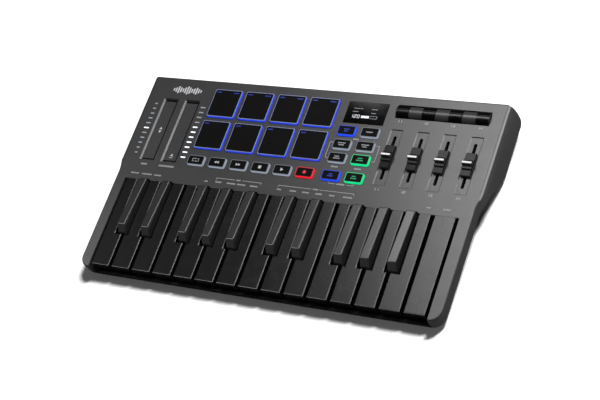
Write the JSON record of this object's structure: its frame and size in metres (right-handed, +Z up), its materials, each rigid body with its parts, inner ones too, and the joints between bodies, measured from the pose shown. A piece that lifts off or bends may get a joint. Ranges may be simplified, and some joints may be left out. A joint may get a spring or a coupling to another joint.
{
  "type": "midi keyboard",
  "caption": "Compact MIDI keyboard controller with two octaves of black keys, lit drum pads, transport and function buttons, touch strips, rollers, faders and a small display.",
  "frame": {"origin": "middle of the footprint, on the desk under the rubber feet", "axes": "+X to the player's right, +Y away from the player, +Z up; the control panel slopes 7 degrees, higher at the back"},
  "size_m": [0.328, 0.1894, 0.0406],
  "materials": {
    "panel_grey": "fine-textured satin moulding",
    "case_black": "matt black moulding",
    "frame_black": "moulded",
    "steel_rod": "drawn rod",
    "board_green": "solder mask",
    "display_glass": "glossy black window",
    "strip_grey": "satin",
    "land_grey": "satin",
    "fader_metal": "moulded",
    "socket_black": "moulded",
    "foot_rubber": "soft matt rubber",
    "screw_black": "black-oxide",
    "white_key_black": "semi-gloss black",
    "black_key_black": "satin black",
    "pad_glow": "translucent silicone, lit blue",
    "button_glow": "translucent silicone, lit",
    "pad_face": "matt black silicone face",
    "print_white": "printed marks",
    "light_white": "light guide",
    "light_dim": "light guide, dim",
    "glow_green": "translucent silicone, lit green",
    "glow_blue": "translucent silicone, lit blue",
    "glow_red": "translucent silicone, lit red",
    "roller_black": "ribbed rubber",
    "fader_black": "satin black"
  },
  "bodies": {
    "case": {"top_shell": "panel_grey", "bottom_shell": "case_black", "key_frame": "frame_black", "key_pivot_rod": "steel_rod", "circuit_boards": "board_green", "display_module": "display_glass", "touch_strips": "strip_grey", "roller_mount": "land_grey", "fader_bodies": "fader_metal", "rear_sockets": "socket_black", "rubber_feet": "foot_rubber", "case_screws": "screw_black"},
    "white_key_1": {"white_key_1": "white_key_black"},
    "white_key_2": {"white_key_2": "white_key_black"},
    "white_key_3": {"white_key_3": "white_key_black"},
    "white_key_4": {"white_key_4": "white_key_black"},
    "white_key_5": {"white_key_5": "white_key_black"},
    "white_key_6": {"white_key_6": "white_key_black"},
    "white_key_7": {"white_key_7": "white_key_black"},
    "white_key_8": {"white_key_8": "white_key_black"},
    "white_key_9": {"white_key_9": "white_key_black"},
    "white_key_10": {"white_key_10": "white_key_black"},
    "white_key_11": {"white_key_11": "white_key_black"},
    "white_key_12": {"white_key_12": "white_key_black"},
    "white_key_13": {"white_key_13": "white_key_black"},
    "white_key_14": {"white_key_14": "white_key_black"},
    "white_key_15": {"white_key_15": "white_key_black"},
    "black_key_1": {"black_key_1": "black_key_black"},
    "black_key_2": {"black_key_2": "black_key_black"},
    "black_key_3": {"black_key_3": "black_key_black"},
    "black_key_4": {"black_key_4": "black_key_black"},
    "black_key_5": {"black_key_5": "black_key_black"},
    "black_key_6": {"black_key_6": "black_key_black"},
    "black_key_7": {"black_key_7": "black_key_black"},
    "black_key_8": {"black_key_8": "black_key_black"},
    "black_key_9": {"black_key_9": "black_key_black"},
    "black_key_10": {"black_key_10": "black_key_black"},
    "pad_1": {"pad_1": "pad_glow"},
    "pad_2": {"pad_2": "pad_glow"},
    "pad_3": {"pad_3": "pad_glow"},
    "pad_4": {"pad_4": "pad_glow"},
    "pad_5": {"pad_5": "pad_glow"},
    "pad_6": {"pad_6": "pad_glow"},
    "pad_7": {"pad_7": "pad_glow"},
    "pad_8": {"pad_8": "pad_glow"},
    "transport_button_1": {"transport_button_1": "button_glow"},
    "transport_button_2": {"transport_button_2": "button_glow"},
    "transport_button_3": {"transport_button_3": "button_glow"},
    "transport_button_4": {"transport_button_4": "button_glow"},
    "transport_button_5": {"transport_button_5": "button_glow"},
    "transport_button_6": {"transport_button_6": "button_glow"},
    "function_buttons": {"function_buttons": "button_glow"},
    "roller_1": {"roller_1": "roller_black"},
    "roller_2": {"roller_2": "roller_black"},
    "roller_3": {"roller_3": "roller_black"},
    "roller_4": {"roller_4": "roller_black"},
    "fader_cap_1": {"fader_cap_1": "fader_black"},
    "fader_cap_2": {"fader_cap_2": "fader_black"},
    "fader_cap_3": {"fader_cap_3": "fader_black"},
    "fader_cap_4": {"fader_cap_4": "fader_black"}
  },
  "joints": [
    {"name": "fader_cap_1_slide", "type": "slide", "parent": "case", "child": "fader_cap_1", "axis": [0, 0.9925, 0.1219], "range_m": [-0.014, 0.014]},
    {"name": "fader_cap_2_slide", "type": "slide", "parent": "case", "child": "fader_cap_2", "axis": [0, 0.9925, 0.1219], "range_m": [-0.014, 0.014]},
    {"name": "roller_1_turn", "type": "hinge", "parent": "case", "child": "roller_1", "pos_m": [0.07796, 0.07365, 0.03349], "axis": [1, 0, 0], "continuous": true},
    {"name": "roller_2_turn", "type": "hinge", "parent": "case", "child": "roller_2", "pos_m": [0.10042, 0.07365, 0.03349], "axis": [1, 0, 0], "continuous": true},
    {"name": "white_key_1_press", "type": "hinge", "parent": "case", "child": "white_key_1", "pos_m": [0, -0.00159, 0.02102], "axis": [1, 0, 0], "range_deg": [0, 2.3], "stiffness_Nm_per_rad": 0.5, "springref_deg": -6.88},
    {"name": "black_key_1_press", "type": "hinge", "parent": "case", "child": "black_key_1", "pos_m": [0, -0.00159, 0.02102], "axis": [1, 0, 0], "range_deg": [0, 2.3], "stiffness_Nm_per_rad": 0.5, "springref_deg": -6.88},
    {"name": "pad_1_press", "type": "slide", "parent": "case", "child": "pad_1", "axis": [0, 0.1219, -0.9925], "range_m": [0, 0.0008], "stiffness_N_per_m": 1500, "springref_m": -0.0008},
    {"name": "transport_button_1_press", "type": "slide", "parent": "case", "child": "transport_button_1", "axis": [0, 0.1219, -0.9925], "range_m": [0, 0.0008], "stiffness_N_per_m": 1500, "springref_m": -0.0008},
    {"name": "function_buttons_press", "type": "slide", "parent": "case", "child": "function_buttons", "axis": [0, 0.1219, -0.9925], "range_m": [0, 0.0008], "stiffness_N_per_m": 1500, "springref_m": -0.0008},
    {"name": "fader_cap_3_slide", "type": "slide", "parent": "case", "child": "fader_cap_3", "axis": [0, 0.9925, 0.1219], "range_m": [-0.014, 0.014]},
    {"name": "fader_cap_4_slide", "type": "slide", "parent": "case", "child": "fader_cap_4", "axis": [0, 0.9925, 0.1219], "range_m": [-0.014, 0.014]},
    {"name": "roller_3_turn", "type": "hinge", "parent": "case", "child": "roller_3", "pos_m": [0.12288, 0.07365, 0.03349], "axis": [1, 0, 0], "continuous": true},
    {"name": "roller_4_turn", "type": "hinge", "parent": "case", "child": "roller_4", "pos_m": [0.14534, 0.07365, 0.03349], "axis": [1, 0, 0], "continuous": true},
    {"name": "white_key_2_press", "type": "hinge", "parent": "case", "child": "white_key_2", "pos_m": [0, -0.00159, 0.02102], "axis": [1, 0, 0], "range_deg": [0, 2.3], "stiffness_Nm_per_rad": 0.5, "springref_deg": -6.88},
    {"name": "white_key_3_press", "type": "hinge", "parent": "case", "child": "white_key_3", "pos_m": [0, -0.00159, 0.02102], "axis": [1, 0, 0], "range_deg": [0, 2.3], "stiffness_Nm_per_rad": 0.5, "springref_deg": -6.88},
    {"name": "white_key_4_press", "type": "hinge", "parent": "case", "child": "white_key_4", "pos_m": [0, -0.00159, 0.02102], "axis": [1, 0, 0], "range_deg": [0, 2.3], "stiffness_Nm_per_rad": 0.5, "springref_deg": -6.88},
    {"name": "white_key_5_press", "type": "hinge", "parent": "case", "child": "white_key_5", "pos_m": [0, -0.00159, 0.02102], "axis": [1, 0, 0], "range_deg": [0, 2.3], "stiffness_Nm_per_rad": 0.5, "springref_deg": -6.88},
    {"name": "white_key_6_press", "type": "hinge", "parent": "case", "child": "white_key_6", "pos_m": [0, -0.00159, 0.02102], "axis": [1, 0, 0], "range_deg": [0, 2.3], "stiffness_Nm_per_rad": 0.5, "springref_deg": -6.88},
    {"name": "white_key_7_press", "type": "hinge", "parent": "case", "child": "white_key_7", "pos_m": [0, -0.00159, 0.02102], "axis": [1, 0, 0], "range_deg": [0, 2.3], "stiffness_Nm_per_rad": 0.5, "springref_deg": -6.88},
    {"name": "white_key_8_press", "type": "hinge", "parent": "case", "child": "white_key_8", "pos_m": [0, -0.00159, 0.02102], "axis": [1, 0, 0], "range_deg": [0, 2.3], "stiffness_Nm_per_rad": 0.5, "springref_deg": -6.88},
    {"name": "white_key_9_press", "type": "hinge", "parent": "case", "child": "white_key_9", "pos_m": [0, -0.00159, 0.02102], "axis": [1, 0, 0], "range_deg": [0, 2.3], "stiffness_Nm_per_rad": 0.5, "springref_deg": -6.88},
    {"name": "white_key_10_press", "type": "hinge", "parent": "case", "child": "white_key_10", "pos_m": [0, -0.00159, 0.02102], "axis": [1, 0, 0], "range_deg": [0, 2.3], "stiffness_Nm_per_rad": 0.5, "springref_deg": -6.88},
    {"name": "white_key_11_press", "type": "hinge", "parent": "case", "child": "white_key_11", "pos_m": [0, -0.00159, 0.02102], "axis": [1, 0, 0], "range_deg": [0, 2.3], "stiffness_Nm_per_rad": 0.5, "springref_deg": -6.88},
    {"name": "white_key_12_press", "type": "hinge", "parent": "case", "child": "white_key_12", "pos_m": [0, -0.00159, 0.02102], "axis": [1, 0, 0], "range_deg": [0, 2.3], "stiffness_Nm_per_rad": 0.5, "springref_deg": -6.88},
    {"name": "white_key_13_press", "type": "hinge", "parent": "case", "child": "white_key_13", "pos_m": [0, -0.00159, 0.02102], "axis": [1, 0, 0], "range_deg": [0, 2.3], "stiffness_Nm_per_rad": 0.5, "springref_deg": -6.88},
    {"name": "white_key_14_press", "type": "hinge", "parent": "case", "child": "white_key_14", "pos_m": [0, -0.00159, 0.02102], "axis": [1, 0, 0], "range_deg": [0, 2.3], "stiffness_Nm_per_rad": 0.5, "springref_deg": -6.88},
    {"name": "white_key_15_press", "type": "hinge", "parent": "case", "child": "white_key_15", "pos_m": [0, -0.00159, 0.02102], "axis": [1, 0, 0], "range_deg": [0, 2.3], "stiffness_Nm_per_rad": 0.5, "springref_deg": -6.88},
    {"name": "black_key_2_press", "type": "hinge", "parent": "case", "child": "black_key_2", "pos_m": [0, -0.00159, 0.02102], "axis": [1, 0, 0], "range_deg": [0, 2.3], "stiffness_Nm_per_rad": 0.5, "springref_deg": -6.88},
    {"name": "black_key_3_press", "type": "hinge", "parent": "case", "child": "black_key_3", "pos_m": [0, -0.00159, 0.02102], "axis": [1, 0, 0], "range_deg": [0, 2.3], "stiffness_Nm_per_rad": 0.5, "springref_deg": -6.88},
    {"name": "black_key_4_press", "type": "hinge", "parent": "case", "child": "black_key_4", "pos_m": [0, -0.00159, 0.02102], "axis": [1, 0, 0], "range_deg": [0, 2.3], "stiffness_Nm_per_rad": 0.5, "springref_deg": -6.88},
    {"name": "black_key_5_press", "type": "hinge", "parent": "case", "child": "black_key_5", "pos_m": [0, -0.00159, 0.02102], "axis": [1, 0, 0], "range_deg": [0, 2.3], "stiffness_Nm_per_rad": 0.5, "springref_deg": -6.88},
    {"name": "black_key_6_press", "type": "hinge", "parent": "case", "child": "black_key_6", "pos_m": [0, -0.00159, 0.02102], "axis": [1, 0, 0], "range_deg": [0, 2.3], "stiffness_Nm_per_rad": 0.5, "springref_deg": -6.88},
    {"name": "black_key_7_press", "type": "hinge", "parent": "case", "child": "black_key_7", "pos_m": [0, -0.00159, 0.02102], "axis": [1, 0, 0], "range_deg": [0, 2.3], "stiffness_Nm_per_rad": 0.5, "springref_deg": -6.88},
    {"name": "black_key_8_press", "type": "hinge", "parent": "case", "child": "black_key_8", "pos_m": [0, -0.00159, 0.02102], "axis": [1, 0, 0], "range_deg": [0, 2.3], "stiffness_Nm_per_rad": 0.5, "springref_deg": -6.88},
    {"name": "black_key_9_press", "type": "hinge", "parent": "case", "child": "black_key_9", "pos_m": [0, -0.00159, 0.02102], "axis": [1, 0, 0], "range_deg": [0, 2.3], "stiffness_Nm_per_rad": 0.5, "springref_deg": -6.88},
    {"name": "black_key_10_press", "type": "hinge", "parent": "case", "child": "black_key_10", "pos_m": [0, -0.00159, 0.02102], "axis": [1, 0, 0], "range_deg": [0, 2.3], "stiffness_Nm_per_rad": 0.5, "springref_deg": -6.88},
    {"name": "pad_2_press", "type": "slide", "parent": "case", "child": "pad_2", "axis": [0, 0.1219, -0.9925], "range_m": [0, 0.0008], "stiffness_N_per_m": 1500, "springref_m": -0.0008},
    {"name": "pad_3_press", "type": "slide", "parent": "case", "child": "pad_3", "axis": [0, 0.1219, -0.9925], "range_m": [0, 0.0008], "stiffness_N_per_m": 1500, "springref_m": -0.0008},
    {"name": "pad_4_press", "type": "slide", "parent": "case", "child": "pad_4", "axis": [0, 0.1219, -0.9925], "range_m": [0, 0.0008], "stiffness_N_per_m": 1500, "springref_m": -0.0008},
    {"name": "pad_5_press", "type": "slide", "parent": "case", "child": "pad_5", "axis": [0, 0.1219, -0.9925], "range_m": [0, 0.0008], "stiffness_N_per_m": 1500, "springref_m": -0.0008},
    {"name": "pad_6_press", "type": "slide", "parent": "case", "child": "pad_6", "axis": [0, 0.1219, -0.9925], "range_m": [0, 0.0008], "stiffness_N_per_m": 1500, "springref_m": -0.0008},
    {"name": "pad_7_press", "type": "slide", "parent": "case", "child": "pad_7", "axis": [0, 0.1219, -0.9925], "range_m": [0, 0.0008], "stiffness_N_per_m": 1500, "springref_m": -0.0008},
    {"name": "pad_8_press", "type": "slide", "parent": "case", "child": "pad_8", "axis": [0, 0.1219, -0.9925], "range_m": [0, 0.0008], "stiffness_N_per_m": 1500, "springref_m": -0.0008},
    {"name": "transport_button_2_press", "type": "slide", "parent": "case", "child": "transport_button_2", "axis": [0, 0.1219, -0.9925], "range_m": [0, 0.0008], "stiffness_N_per_m": 1500, "springref_m": -0.0008},
    {"name": "transport_button_3_press", "type": "slide", "parent": "case", "child": "transport_button_3", "axis": [0, 0.1219, -0.9925], "range_m": [0, 0.0008], "stiffness_N_per_m": 1500, "springref_m": -0.0008},
    {"name": "transport_button_4_press", "type": "slide", "parent": "case", "child": "transport_button_4", "axis": [0, 0.1219, -0.9925], "range_m": [0, 0.0008], "stiffness_N_per_m": 1500, "springref_m": -0.0008},
    {"name": "transport_button_5_press", "type": "slide", "parent": "case", "child": "transport_button_5", "axis": [0, 0.1219, -0.9925], "range_m": [0, 0.0008], "stiffness_N_per_m": 1500, "springref_m": -0.0008},
    {"name": "transport_button_6_press", "type": "slide", "parent": "case", "child": "transport_button_6", "axis": [0, 0.1219, -0.9925], "range_m": [0, 0.0008], "stiffness_N_per_m": 1500, "springref_m": -0.0008}
  ]
}
